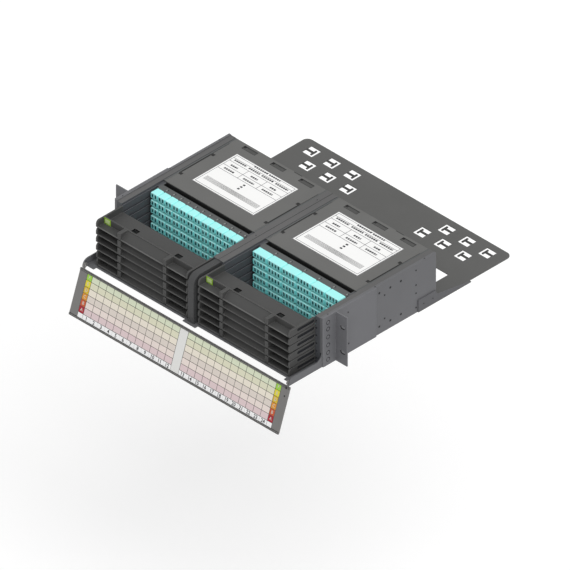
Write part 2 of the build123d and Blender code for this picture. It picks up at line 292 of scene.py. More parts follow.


# Flush screws and rivets hold the chassis to its mouldings. Each is a steel head with a socket
# painted near-black as shade, set a fraction of a millimetre proud of the coat.
# Near-black painted shade, used in sockets, grooves, slots, holes and seams.
recess_shade_black = surface_finish("recess_shade_black", (0.012, 0.012, 0.013), 0.6, 0.3, 0.01, edge=0.1)
head_steel = surface_finish("coated_head", (0.10, 0.10, 0.105), 0.45, 0.3, 0.01)


def flush_heads(name, body, centres, outward, radius, socket_share=0.62):
    """Flat heads of one size: a rim that rises 0.2 mm, and a socket that sinks back inside it."""
    rim, socket_band = radius * socket_share, 3
    profile = ((radius, -0.05), (radius, 0.12), (radius * 0.92, 0.2), (rim, 0.2),
               (rim * 0.94, 0.03))
    points, faces, where = turned_heads(profile, centres, outward)
    add_piece(name, body, points, faces, (head_steel, recess_shade_black),
              where >= socket_band)


two_sides = (("right", 1), ("left", -1))
half_body, wall_socket_share = body_high.x, 0.85
wall_marks = (
    (2.9, ((72, 72), (72, 12))),
    (2.3, ((93, 74), (93, 13.6), (116, 73), (116, 13.4), (138, 73.4), (138, 13.7))),
    (1.7, ((104, 65), (104, 23), (169.6, 77), (169.6, 50.5), (169.6, 35.7), (169.6, 9.8))),
)
for size, marks in wall_marks:
    for side_name, side in two_sides:
        centres = [(side * half_body, y, panel_bottom + z) for y, z in marks]
        flush_heads(f"{side_name}_wall_rivets_{len(marks)}", "chassis", centres, (side, 0, 0), size,
                    wall_socket_share)
hem_screw_x, hem_screw_y, top_screw_size = 214.2, (-13, 86, 189), 1.5
hem_screws = [(side * hem_screw_x, y, panel_top) for side in (-1, 1) for y in hem_screw_y]
flush_heads("hem_screws", "chassis", hem_screws, (0, 0, 1), top_screw_size)

# The cable plate behind the chassis is a second sheet with two upturned flanges, coated alike,
# and two screws through each flange. The T-shaped tabs in its windows have darker faces.
flange_foot_rise = 1.55
flange_foot = panel_bottom + flange_foot_rise
rear_coat = surface_finish("rear_powder_coat", (0.105, 0.105, 0.112), 0.55, 0.7, 0.03,
                           split=("Z", flange_foot, (0.099, 0.099, 0.096)))
dress("rear_cable_plate", rear_coat)
flange_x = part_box("rear_cable_plate")[1].x / mm
flange_screw_y, flange_screw_rise, flange_screw_size = (184, 203), 11, 1.9
tab_thick, tab_sink, tab_edge, tab_reach = 0.1, 0.03, 10.2, 14.6
tab_head, tab_head_half, tab_stem_half = 2.8, 6.2, 1.7
tab_rows = ((351.2, (98.8, 141.2, 183.6)), (321.2, (77.8, 120.2, 162.6)))
head_near = tab_edge - tab_reach - tab_head / 2
head_far = head_near + tab_head
tab_parts = ((head_near, head_far, tab_head_half), (head_far, tab_edge, tab_stem_half))
box_faces = ((3, 2, 1, 0), (4, 5, 6, 7), (0, 1, 5, 4), (1, 2, 6, 5), (2, 3, 7, 6), (3, 0, 4, 7))
tab_boxes, tab_quads = [], []
for row_y, columns in tab_rows:
    for centre_x in columns:
        for side in (-1, 1):
            for start, stop, half in tab_parts:
                outline = ((start, -half), (stop, -half), (stop, half), (start, half))
                points = np.array([(centre_x + x, row_y + y, flange_foot - tab_sink + z)
                                   for z in (0, tab_thick) for x, y in outline])
                tab_quads += [[8 * len(tab_boxes) + corner for corner in face[::side]]
                              for face in box_faces]
                tab_boxes.append(points * (side, 1, 1))
tab_coat = surface_finish("tab_coat", (0.042, 0.042, 0.041), 0.6, 0.5, 0.02, edge=0.1)
add_piece("tie_tabs", "chassis", np.concatenate(tab_boxes), tab_quads, (tab_coat,))
for side_name, side in two_sides:
    centres = [(side * flange_x, y, panel_bottom + flange_screw_rise) for y in flange_screw_y]
    flush_heads(f"{side_name}_flange_screws", "chassis", centres, (side, 0, 0), flange_screw_size)

# Four mouldings line the two bays, and each has a groove for every drawer's runner. The nose
# between the stacks of trays is a moulding of its own.
rail_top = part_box("centre_drawer_guides")[1].z / mm
rail_skin, rail_screw_x, rail_screw_y = 0.25, -4.5, (56, 184)
guide_resin = surface_finish("guide_moulding", (0.110, 0.109, 0.109), 0.6, 0.35, 0.02,
                             split=("Z", rail_top - rail_skin, (0.078, 0.082, 0.090)))
nose_resin = surface_finish("nose_moulding", (0.054, 0.055, 0.056), 0.6, 0.35, 0.02)
dress("outer_drawer_guides", guide_resin)
dress("centre_drawer_guides", guide_resin)
dress("centre_nose", nose_resin)
rail_screws = [(rail_screw_x, y, rail_top) for y in rail_screw_y]
flush_heads("centre_rail_screws", "chassis", rail_screws, (0, 0, 1), top_screw_size)


def straight_bars(profile, half_width, places):
    """A bar at each place: its side profile of (back, up) points is carried across the width."""
    back, up = np.array(profile, float).T
    count = len(back)
    left = np.stack([np.full(count, -half_width), back, up], 1)
    ends = np.concatenate([left, left * (-1, 1, 1)])
    points = (np.asarray(places, float)[:, None] + ends).reshape(-1, 3)
    k = np.arange(count)
    after = (k + 1) % count
    sides = np.stack([k, after, after + count, k + count], 1)
    faces = []
    for start in range(0, len(points), 2 * count):
        faces += (sides + start).tolist()
        faces.append((k[::-1] + start).tolist())
        faces.append((k + count + start).tolist())
    return points, faces


# A black line paints the shade in the seam along the top of the centre rail.
seam_half, seam_profile = 0.35, ((-26.9, -0.02), (211.4, -0.02), (211.4, 0.08), (-26.9, 0.08))
points, faces = straight_bars(seam_profile, seam_half, [(0, 0, rail_top)])
add_piece("centre_rail_seam", "chassis", points, faces, (recess_shade_black,))
nose_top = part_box("centre_nose")[1].z / mm
nose_screw_y, nose_screw_size = -40, 1.6
flush_heads("nose_screw", "chassis", [(0, nose_screw_y, nose_top)], (0, 0, 1), nose_screw_size)

# The rack ears are folded from 2 mm steel, with two slots each for the rack screws. Six pressed
# rivets hold the leg of each ear to the side wall. The rivets' outer grooves and the slots' inner
# walls are black as painted shade.
# The ears' edges get a stronger, wider painted highlight than the chassis.
ear_coat = surface_finish("ear_powder_coat", (0.145, 0.146, 0.155), 0.55, 0.7, 0.03, edge=0.6,
                          edge_width=0.8)
for node in ("right_rack_ear", "left_rack_ear"):
    dress(node, ear_coat)
ear_thick = 2.0
ear_leg_x = half_body + ear_thick
ear_rivet_y, ear_rivet_rises = -16, (10, 22.3, 36, 50.3, 64.8, 76.5)
leg_screw_marks, leg_screw_size = ((26, 74), (27, 17)), 2.0
rivet_profile = ((3.9, -0.05), (3.9, 0.08), (2.8, 0.1), (2.6, 0.35), (2.0, 0.55), (1.0, 0.62))
rivet_groove_bands, slot_steps = 2, 16
rack_slot_x, rack_slot_z, slot_run = 232.55, 22.225, (3.5, 0, 0)
rack_slot_shade_profile = ((3.38, -1.98), (3.38, 0.02), (3.15, 0.02), (3.15, -1.98))
for side_name, side in two_sides:
    centres = [(side * ear_leg_x, ear_rivet_y, panel_bottom + rise) for rise in ear_rivet_rises]
    points, faces, where = turned_heads(rivet_profile, centres, (side, 0, 0))
    add_piece(f"{side_name}_ear_rivets", "chassis", points, faces,
              (ear_coat, recess_shade_black), where < rivet_groove_bands)
    leg_screws = [(side * ear_leg_x, y, panel_bottom + rise) for y, rise in leg_screw_marks]
    flush_heads(f"{side_name}_ear_leg_screws", "chassis", leg_screws, (side, 0, 0), leg_screw_size)
    slot_centres = [(side * rack_slot_x, 0.0, rise) for rise in (-rack_slot_z, rack_slot_z)]
    points, faces, _ = turned_heads(rack_slot_shade_profile, slot_centres, (0, -1, 0), slot_steps,
                                    slot_run, True)
    add_piece(f"{side_name}_rack_slot_shade_walls", "chassis", points, faces,
              (recess_shade_black,))

# Twelve drawers fill the bays, six to a side, and each starts with an open moulded cable tray:
# slots in its sides and holes in its floor, dark inside as painted shade, and a light strip along
# the floor's front edge as a painted highlight. Its edges carry a strong painted highlight too. The
# top tray of each bay wears a lime tag at the left end of its cross wall.
bays = ("left", "right")
drawers = [(side_name, level) for side_name in bays for level in range(1, 7)]
side_arms_y = -26.9
# The trays' edges get a strong, wide painted highlight, which draws the light line along each front
# edge.
tray_resin = surface_finish("tray_moulding", (0.074, 0.076, 0.084), 0.6, 0.4, 0.02, edge=1.3,
                            edge_width=0.9, split=("Y", side_arms_y, (0.060, 0.060, 0.059)))
for side_name, level in drawers:
    dress(f"{side_name}_cable_tray_{level}", tray_resin)


def quads(*corners):
    """Four-cornered faces, one for each entry of the corners' coordinate arrays."""
    return np.stack([np.stack(np.broadcast_arrays(*corner), -1) for corner in corners], 1)


def stepped_face(across, up, depth, colour, back, back_colour):
    """A face cut in steps. Cell (i, j) between the grid lines lies depth[i, j] behind the front
    plane, and a wall in the deeper cell's colour joins two cells wherever their depths differ.
    The outer walls run to the back, which closes the block.
    Gives corners of (across, depth, up) and their colours."""
    across, up = np.asarray(across, float), np.asarray(up, float)
    wide, high = len(across) - 1, len(up) - 1
    deep = np.full((wide + 2, high + 2), float(back))
    deep[1:-1, 1:-1] = depth
    tint = np.empty((wide + 2, high + 2, 3))
    tint[:] = back_colour
    tint[1:-1, 1:-1] = colour

    i, j = np.indices((wide, high)).reshape(2, -1)
    a0, a1, u0, u1, d = across[i], across[i + 1], up[j], up[j + 1], deep[i + 1, j + 1]
    corners = [quads((a0, d, u0), (a1, d, u0), (a1, d, u1), (a0, d, u1)),
               quads((a0, back, u0), (a0, back, u1), (a1, back, u1), (a1, back, u0))]
    tints = [np.repeat(tint[i + 1, j + 1][:, None], 4, 1),
             np.broadcast_to(np.asarray(back_colour, float), (len(i), 4, 3))]

    k, j = np.indices((wide + 1, high)).reshape(2, -1)
    stepped = deep[k, j + 1] != deep[k + 1, j + 1]
    k, j = k[stepped], j[stepped]
    near, far = deep[k, j + 1], deep[k + 1, j + 1]
    corners.append(quads((across[k], near, up[j]), (across[k], far, up[j]),
                         (across[k], far, up[j + 1]), (across[k], near, up[j + 1])))
    deeper = np.where((near > far)[:, None], tint[k, j + 1], tint[k + 1, j + 1])
    tints.append(np.repeat(deeper[:, None], 4, 1))

    i, k = np.indices((wide, high + 1)).reshape(2, -1)
    stepped = deep[i + 1, k] != deep[i + 1, k + 1]
    i, k = i[stepped], k[stepped]
    near, far = deep[i + 1, k], deep[i + 1, k + 1]
    corners.append(quads((across[i], near, up[k]), (across[i + 1], near, up[k]),
                         (across[i + 1], far, up[k]), (across[i], far, up[k])))
    deeper = np.where((near > far)[:, None], tint[i + 1, k], tint[i + 1, k + 1])
    tints.append(np.repeat(deeper[:, None], 4, 1))
    return np.concatenate(corners), np.concatenate(tints)


def set_out(corners, origins, right, inward, up):
    """Carries (across, depth, rise) corners to each origin, point = origin + across right +
    depth inward + rise up."""
    axes = np.array((right, inward, up), float)
    placed = corners @ axes
    return (np.asarray(origins, float)[:, None, None] + placed).reshape(-1, 4, 3)


def add_printed(name, body, corners, tints, material):
    """One mesh of four-cornered faces, welded where corners meet, with a colour at each corner."""
    points, index = np.unique(np.round(corners.reshape(-1, 3), 4), axis=0, return_inverse=True)
    piece = add_piece(name, body, points, index.reshape(-1, 4).tolist(), (material,))
    ink = piece.data.color_attributes.new(name="print", type="FLOAT_COLOR", domain="CORNER")
    rgba = np.ones((tints.shape[0] * 4, 4), np.float32)
    rgba[:, :3] = tints.reshape(-1, 3)
    ink.data.foreach_set("color", rgba.ravel())
    return piece


facing_front = ((1, 0, 0), (0, 1, 0), (0, 0, 1))
facing_back = ((-1, 0, 0), (0, -1, 0), (0, 0, 1))
facing_up = ((1, 0, 0), (0, 0, -1), (0, 1, 0))
side_slot_y, side_slot_rise, slot_depth, side_slot_run = -46.5, 7.7, 1.6, (0, 30.9, 0)
slot_cup = ((2.5, -slot_depth + 0.02), (2.5, -0.1), (2.3, -0.1), (2.3, -slot_depth + 0.15))
# Painted shade for the dark inside of the tray's side slots.
slot_shade = surface_finish("slot_shade", (0.026, 0.027, 0.03), 0.9, 0.5, 0.01, edge=0.0,
                            specular=0.1)

# A light strip on the floor's front edge paints the highlight that the edge catches.
lip_highlight_finish = surface_finish("lip_painted_highlight", (1, 1, 1), 0.6, 0.4, 0.02, edge=0.1, printed=True)
lip_spans = ((-92.8, -50.65), (-44.35, 44.35), (50.65, 92.8))
lip_wide, lip_proud, lip_thick, lip_inset, lip_highlight_tone = 2.2, 0.15, 0.2, 0.02, (0.13, 0.13, 0.128)
lips = [stepped_face(span, (0, lip_wide), 0.0, lip_highlight_tone, lip_thick, lip_highlight_tone) for span in lip_spans]
lip_corners, lip_tints = (np.concatenate(parts) for parts in zip(*lips))

floor_hole_x, floor_hole_y, hole_half, tray_floor = 45.0, -50.0, 5.72, 2.1
# The floor holes' walls are painted black as shade.
hole_shade_black = surface_finish("hole_shade_black", (0.012, 0.012, 0.013), 0.9, 0.5, 0.01, edge=0.0,
                             specular=0.1)
hole_shade_wall, hole_shade_gap = 0.3, 0.02
hole_shade_rings = ((hole_half, hole_shade_gap), (hole_half, tray_floor),
               (hole_half - hole_shade_wall, tray_floor), (hole_half - hole_shade_wall, hole_shade_gap))
square = np.array(((-1, -1), (1, -1), (1, 1), (-1, 1)), float)
for side_name, level in drawers:
    tray_low, tray_high = (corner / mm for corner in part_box(f"{side_name}_cable_tray_{level}"))
    body, middle = f"{side_name}_drawer_{level}", (tray_low.x + tray_high.x) / 2
    cups, cup_faces = [], []
    for side, face_x in ((-1, tray_low.x), (1, tray_high.x)):
        centre = (face_x, side_slot_y, tray_low.z + side_slot_rise)
        points, faces, _ = turned_heads(slot_cup, [centre], (side, 0, 0), slot_steps, side_slot_run)
        cup_faces += [[corner + len(points) * len(cups) for corner in face] for face in faces]
        cups.append(points)
    add_piece(f"{side_name}_side_slots_{level}", body, np.concatenate(cups),
              cup_faces, (slot_shade,))

    lip_origin = (middle, tray_low.y + lip_inset, tray_low.z + tray_floor + lip_proud)
    add_printed(f"{side_name}_floor_lip_highlights_{level}", body,
                set_out(lip_corners, [lip_origin], *facing_up), lip_tints, lip_highlight_finish)

    hole_points, hole_faces = [], []
    for shift in (-floor_hole_x, floor_hole_x):
        base = 4 * len(hole_points)
        for ring, (half, rise) in enumerate(hole_shade_rings):
            hole_points.append(np.column_stack([square * half + (middle + shift, floor_hole_y),
                                                np.full(4, tray_low.z + rise)]))
            here, beyond = base + 4 * ring, base + 4 * ((ring + 1) % 4)
            hole_faces += [[here + k, here + (k + 1) % 4, beyond + (k + 1) % 4, beyond + k]
                           for k in range(4)]
    add_piece(f"{side_name}_floor_hole_edges_{level}", body,
              np.concatenate(hole_points), hole_faces, (hole_shade_black,))


def framed(rim, middle):
    """A grid of three by three cells that hold the rim's value, but for the one in the middle."""
    grid = np.empty((3, 3, *np.shape(rim)))
    grid[:] = rim
    grid[1, 1] = middle
    return grid


tag_card = surface_finish("tag_card", (1, 1, 1), 0.5, 0.4, 0.005, mottle=0.02, edge=0.05,
                          printed=True)
tag_lime, tag_pale = (0.27, 0.47, 0.04), (0.55, 0.70, 0.30)
tag_wide, tag_high, tag_thick, tag_border = 13.5, 11.0, 0.4, 2.0
cross_wall_y, tag_inset, tag_rise = -66.0, 2.8, 2.1
tag_corners, tag_tints = stepped_face((0, tag_border, tag_wide - tag_border, tag_wide),
                                      (0, tag_border, tag_high - tag_border, tag_high),
                                      0.0, framed(tag_lime, tag_pale), tag_thick, tag_lime)
for side_name in bays:
    tray_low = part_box(f"{side_name}_cable_tray_6")[0] / mm
    origin = (tray_low.x + tag_inset, cross_wall_y - tag_thick, tray_low.z + tag_rise)
    add_printed(f"{side_name}_row_tag", f"{side_name}_drawer_6",
                set_out(tag_corners, [origin], *facing_front), tag_tints, tag_card)

# Behind its tray each drawer carries a cassette: a moulded base and a flat steel cover, which has a
# test label, notches at its sides and windows at its back. On the ledge in front of the cover a
# small spring clip stands between every two adapters.
base_resin = surface_finish("cassette_moulding", (0.095, 0.1, 0.1), 0.6, 0.4, 0.02)
cover_coat = surface_finish("cover_plate", (0.126, 0.126, 0.122), 0.5, 0.5, 0.02)
clip_steel = surface_finish("clip_steel", (0.33, 0.34, 0.33), 0.35, 0.3, 0.005)
for side_name, level in drawers:
    dress(f"{side_name}_cassette_base_{level}", base_resin)
    dress(f"{side_name}_cassette_cover_{level}", cover_coat)

label_wide, label_deep, label_thick, label_middle_y = 130.0, 95.0, 0.12, 137.0
label_fits = {"left": (-1.5, 0.0, 0.992, 1.0), "right": (0.1, 0.3, 1.05, 1.034)}
white, ink_grey, rule_grey = (0.95, 0.95, 0.94), (0.035, 0.035, 0.04), (0.17, 0.17, 0.18)


def print_grid(width, height, boxes, paper):
    """The lines and colours of a printed card: every box (left, low, right, high, colour) adds its
    edges to the grid lines, and colours the cells whose middles it holds, later boxes on top."""
    edges = np.array([box[:4] for box in boxes], float)
    across = np.unique(np.round([0, width, *edges[:, 0], *edges[:, 2]], 3))
    up = np.unique(np.round([0, height, *edges[:, 1], *edges[:, 3]], 3))
    mid_a, mid_u = (across[1:] + across[:-1]) / 2, (up[1:] + up[:-1]) / 2
    colour = np.empty((len(mid_a), len(mid_u), 3))
    colour[:] = paper
    for left, low, right, high, tint in boxes:
        held = ((mid_a > left) & (mid_a < right))[:, None] & ((mid_u > low) & (mid_u < high))
        colour[held] = tint
    return across, up, colour


def test_label():
    """Boxes of the cassette's label: a double frame, ruled table cells with bars for entries, three
    check marks and a strip of fine hatching, all measured from the label's front left corner."""
    frame_in, line, bar_rise, bar_half, gap_step, gap_wide = 3.2, 0.9, 6.0, 1.8, 4.1, 0.9
    boxes = []
    for inset in (0.0, frame_in):
        inner = inset + line
        boxes.append((inset, inset, label_wide - inset, label_deep - inset, rule_grey))
        boxes.append((inner, inner, label_wide - inner, label_deep - inner, white))
    rows = [label_deep * share for share in (0.53, 0.655, 0.79, 0.885)]
    boxes += [(frame_in, row, label_wide - frame_in, row + line, rule_grey) for row in rows]
    boxes += [(column, rows[0], column + line, rows[2], rule_grey) for column in (44.0, 83.0)]
    entries = ((12, 32, 0), (52, 74, 0), (91, 113, 0), (14, 28, 1), (56, 70, 1), (96, 108, 1),
               (9, 34, 2), (39, 62, 2), (66, 90, 2), (95, 121, 2), (42, 70, 3), (73, 96, 3))
    for start, end, row in entries:
        low, high = rows[row] + bar_rise - bar_half, rows[row] + bar_rise + bar_half
        boxes.append((start, low, end, high, ink_grey))
        boxes += [(gap, low, gap + gap_wide, high, white)
                  for gap in np.arange(start + 3.0, end - 1.0, gap_step)]
    boxes += [(63.4, y, 67.6, y + 3.3, ink_grey) for y in (31.0, 37.0, 43.0)]
    hatch = np.arange(9.0, 121.0, 2.0)
    shade = 0.42 - 0.27 * np.exp(-((hatch - 66.0) / 34.0) ** 2)
    boxes += [(x, 14.8, x + 1.2, 24.6, (tone, tone, tone)) for x, tone in zip(hatch, shade)]
    return boxes


label_card = surface_finish("label_card", (1, 1, 1), 0.55, 0.3, 0.004, mottle=0.01, edge=0.0,
                            printed=True)
label_lines, label_rises, label_colour = print_grid(label_wide, label_deep, test_label(), white)
label_corners, label_tints = stepped_face(label_lines, label_rises, 0.0, label_colour, label_thick,
                                          white)

groove_black, cover_tone = (0.012, 0.012, 0.012), (0.121, 0.121, 0.117)
notch_size, notch_rim, notch_sink, notch_thick, notch_y = 5.8, 0.6, 0.08, 0.15, (90.0, 157.0)
notch_lines = (0, notch_rim, notch_size - notch_rim, notch_size)
notch_corners, notch_tints = stepped_face(notch_lines, notch_lines, framed(0.0, notch_sink),
                                          framed((0.05, 0.05, 0.048), groove_black), notch_thick,
                                          groove_black)
trim_finish = surface_finish("cover_trim", (1, 1, 1), 0.6, 0.4, 0.01, edge=0.1, printed=True)
trim_start, trim_stop, trim_out, trim_drop = 60.8, 195.0, 1.1, 0.02
front_trim_gap, back_trim_gap, groove_overlap, groove_lift = 0.25, 0.05, 1.3, 0.1

cassette_high, ledge_top_rise, half_ledge, pit_side, pit_rim = 15.7, 12.9, 89.3, 0.3, 0.25
# A black pit in the ledge before the cover and a thin black riser under the cover's front edge
# paint the shade of the gap there.
pit_front, pit_wide, pit_deep, pit_drop = 53.6, 6.8, 8.4, 0.2
pit_corners, pit_tints = stepped_face(
    (-half_ledge, pit_side - half_ledge, half_ledge - pit_side, half_ledge),
    (0, pit_rim, pit_wide - pit_rim, pit_wide), framed(0.0, pit_deep), groove_black,
    pit_deep + pit_drop, groove_black)
riser_high, riser_thick, riser_gap, riser_drop = 1.5, 0.11, 0.12, 0.1
riser_corners, riser_tints = stepped_face((-half_ledge, half_ledge), (0, riser_high), 0.0,
                                          groove_black, riser_thick, groove_black)

trunk_places = (-58.0, 1.0, 60.0)
window_long, window_wide, window_inset, window_rim, window_step = 27.6, 8.6, 8.5, 0.9, (4.4, 4.3)
window_sink, window_thick, window_lift = 0.85, 1.15, 0.06
window_colour = np.tile((0.035, 0.035, 0.034), (4, 4, 1))
window_colour[1:3, 1:3] = (0.072, 0.072, 0.07)
window_colour[1, 2] = groove_black
window_depth = np.zeros((4, 4))
window_depth[1:3, 1:3] = window_sink
window_corners, window_tints = stepped_face(
    (0, window_rim, window_step[0], window_long - window_rim, window_long),
    (0, window_rim, window_step[1], window_wide - window_rim, window_wide),
    window_depth, window_colour, window_thick, groove_black)
latch_from, latch_to, latch_wide, latch_thick = 26.8, 43.5, 1.1, 0.15
latch_corners, latch_tints = stepped_face((latch_from, latch_to), (-latch_wide, 0), 0.0,
                                          groove_black, latch_thick, groove_black)

adapter_counts, adapter_span = {"left": 12, "right": 6}, 181.2
clip_profile = ((0.0, -0.05), (3.4, -0.05), (3.4, 0.15), (0.8, 0.45), (0.0, 0.38))
clip_back, clip_half, last_clip_inset = 45.5, 0.55, 2.5
# Beside each clip a black disc paints the shade in its hole.
clip_hole_profile = ((1.15, -0.03), (1.15, 0.12), (0.9, 0.16))
clip_hole_shift, few_steps = (2.0, 3.2, 0), 8
for side_name, level in drawers:
    body = f"{side_name}_drawer_{level}"
    cover_low, cover_high = (corner / mm
                             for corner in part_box(f"{side_name}_cassette_cover_{level}"))
    middle = (cover_low.x + cover_high.x) / 2
    half_cover = (cover_high.x - cover_low.x) / 2
    shift_x, shift_y, wider, deeper = label_fits[side_name]
    label_origin = (middle + shift_x - wider * label_wide / 2,
                    label_middle_y + shift_y - deeper * label_deep / 2, cover_high.z + label_thick)
    add_printed(f"{side_name}_test_label_{level}", body,
                set_out(label_corners, [label_origin], (wider, 0, 0), (0, 0, -1), (0, deeper, 0)),
                label_tints, label_card)

    notch_origins = [(middle + half_cover - notch_size if side > 0 else middle - half_cover,
                      y - notch_size / 2, cover_high.z + notch_thick)
                     for side in (-1, 1) for y in notch_y]
    trims = [set_out(notch_corners, notch_origins, *facing_up)]
    colours = [np.tile(notch_tints, (len(notch_origins), 1, 1))]
    strips = ((trim_start, notch_y[0], front_trim_gap, trim_drop, cover_tone),
              (notch_y[0], notch_y[1], -groove_overlap, -groove_lift, groove_black),
              (trim_stop, cover_high.y, back_trim_gap, trim_drop, cover_tone))
    for start, stop, inner, drop, tone in strips:
        strip, strip_tint = stepped_face((half_cover + inner, half_cover + trim_out), (start, stop),
                                         0.0, tone, trim_out - drop, tone)
        placed = set_out(strip, [(0, 0, cover_high.z - drop)], *facing_up)
        for flank in (placed[:, ::-1] * (-1, 1, 1), placed):
            trims.append(flank + (middle, 0, 0))
            colours.append(strip_tint)
    add_printed(f"{side_name}_cover_trim_{level}", body, np.concatenate(trims),
                np.concatenate(colours), trim_finish)

    ledge_z = cover_high.z - cassette_high + ledge_top_rise
    pit = set_out(pit_corners, [(middle, pit_front, ledge_z - pit_drop)], *facing_up)
    riser = set_out(riser_corners, [(middle, cover_low.y - riser_gap, ledge_z - riser_drop)],
                    *facing_front)
    add_printed(f"{side_name}_ledge_groove_{level}", body,
                np.concatenate([pit, riser]), np.concatenate([pit_tints, riser_tints]), trim_finish)
    window_y, window_z = cover_high.y - window_inset - window_wide / 2, cover_high.z + window_lift
    window_origins = [(middle + x - window_long / 2, window_y, window_z) for x in trunk_places]
    windows = [set_out(window_corners, window_origins, *facing_up),
               set_out(latch_corners, [(middle, cover_high.y, window_z)], *facing_up)]
    add_printed(f"{side_name}_cover_windows_{level}", body,
                np.concatenate(windows),
                np.concatenate([np.tile(window_tints, (len(trunk_places), 1, 1)), latch_tints]),
                trim_finish)

    count = adapter_counts[side_name]
    joints = middle + (np.arange(1, count + 1) - count / 2) * adapter_span / count
    joints[-1] -= last_clip_inset
    clip_places = np.stack([joints, np.full(count, clip_back), np.full(count, ledge_z)], 1)
    points, faces = straight_bars(clip_profile, clip_half, clip_places)
    add_piece(f"{side_name}_adapter_clips_{level}", body, points, faces, (clip_steel,))
    points, faces, _ = turned_heads(clip_hole_profile, clip_places + clip_hole_shift, (0, 0, 1),
                                    few_steps)
    add_piece(f"{side_name}_clip_holes_{level}", body, points, faces,
              (recess_shade_black,))

# The front adapters are moulded in aqua: blocks of two ports in the left bay and of four in the
# right, each port a keyhole, dark inside as painted shade, with a painted highlight round its rim
# and a white sleeve, which also stands in for the port's lit floor as a painted highlight. Three
# trunk adapters close the cassette's back.
adapter_resin = surface_finish("aqua_moulding", (1, 1, 1), 0.4, 0.4, 0.01, mottle=0.02, edge=0.15,
                               edge_width=0.35, printed=True)
aqua, aqua_front, aqua_highlight = (0.40, 0.95, 0.93), (0.27, 1.0, 1.0), (0.50, 1.0, 1.0)
port_shade, sleeve_white = (0.008, 0.22, 0.23), (0.8, 0.82, 0.8)
trunk_grey, trunk_dark = (0.05, 0.05, 0.052), (0.008, 0.008, 0.009)
port_pitch, port_half, port_rim, latch_half = 6.3, 1.6, 0.75, 1.0
port_low, port_shoulder, port_top, port_deep = 2.2, 7.0, 8.7, 9.0
block_high, block_deep, block_chamfer, block_corner, block_gap = 10.2, 14.4, 0.8, 2.1, 0.6


def rounded_block(corners, half_wide, middle_up, half_high, radius, chamfer):
    """Rounds a block's outline and its front edge: a point in a corner square is drawn in from the
    square to the quarter circle, and a front point on the outline is set back by the chamfer."""
    corners = corners.copy()
    a, d, u = corners[..., 0], corners[..., 1], corners[..., 2] - middle_up
    rim = (np.abs(a) > half_wide - 1e-6) | (np.abs(u) > half_high - 1e-6)
    corners[..., 1] = np.where(rim, np.maximum(d, chamfer), d)
    over_a = np.maximum(np.abs(a) - (half_wide - radius), 0)
    over_u = np.maximum(np.abs(u) - (half_high - radius), 0)
    far = np.hypot(over_a, over_u)
    draw = np.where(far > 0, np.maximum(over_a, over_u) / np.where(far > 0, far, 1), 1)
    corners[..., 0] -= np.sign(a) * over_a * (1 - draw)
    corners[..., 2] -= np.sign(u) * over_u * (1 - draw)
    return corners


def adapter_block(width, height, depth, ports):
    """One adapter about the middle of its front edge: port cells sink in, dark as painted shade,
    and the rest stays in front, with a lighter painted highlight in a rim round each port and along
    the top edge."""
    half = width / 2
    middles = (np.arange(ports) - (ports - 1) / 2) * port_pitch
    edges = [half - block_chamfer, half - block_corner, half]
    rim_half = port_half + port_rim
    port_edges = (-rim_half, -port_half, -latch_half, latch_half, port_half, rim_half)
    port_lines = (middles[:, None] + port_edges).ravel()
    across = np.sort(np.concatenate([edges, [-edge for edge in edges], port_lines]))
    up = np.array((0, block_chamfer, port_low - port_rim, port_low, port_shoulder, port_top,
                   height - block_chamfer, height))
    mid_a, mid_u = (across[1:] + across[:-1]) / 2, (up[1:] + up[:-1]) / 2
    near = np.abs(mid_a[:, None] - middles).min(1)[:, None]
    in_port = (near < port_half) & (mid_u > port_low) & (mid_u < port_shoulder)
    in_latch = (near < latch_half) & (mid_u > port_shoulder) & (mid_u < port_top)
    hollow = in_port | in_latch
    on_rim = (near < rim_half) & (mid_u > port_low - port_rim) & (mid_u < height - block_chamfer)
    colour = np.where((on_rim | (mid_u > height - block_chamfer))[..., None], aqua_highlight, aqua_front)
    colour[hollow] = port_shade
    corners, tints = stepped_face(across, up, np.where(hollow, port_deep, 0.0), colour, depth, aqua)
    return rounded_block(corners, half, height / 2, height / 2, block_corner, block_chamfer), tints


# The white sleeves are ceramic and also stand in for the lit floor of each port as a painted
# highlight.
sleeve_profile = ((1.25, -8.6), (1.25, -2.6), (1.0, -2.3), (0.65, -2.3), (0.6, -7.0))
sleeve_ceramic_and_highlight = surface_finish("sleeve_ceramic_and_highlight", sleeve_white, 0.25, 0.3, 0.002, mottle=0.01,
                                edge=0.1)
port_counts = {"left": 2, "right": 4}
trunk_rise, trunk_long, trunk_socket, trunk_key, trunk_stop = 4.1, 17.0, 10.0, 1.4, 3.5
trunk_depth = np.zeros((5, 5))
trunk_depth[1:4, 1:4] = trunk_socket
trunk_depth[2, 4] = trunk_key
trunk_depth[2, 2] = trunk_stop
trunk_colour = np.tile(trunk_grey, (5, 5, 1))
trunk_colour[trunk_depth > 0] = trunk_dark
trunk_lines, trunk_rises = (-9.5, -6.4, -3.0, 3.0, 6.4, 9.5), (0, 1.5, 3.1, 5.3, 6.9, 8.4)
trunk_corners, trunk_tints = stepped_face(trunk_lines, trunk_rises, trunk_depth, trunk_colour,
                                          trunk_long, trunk_grey)
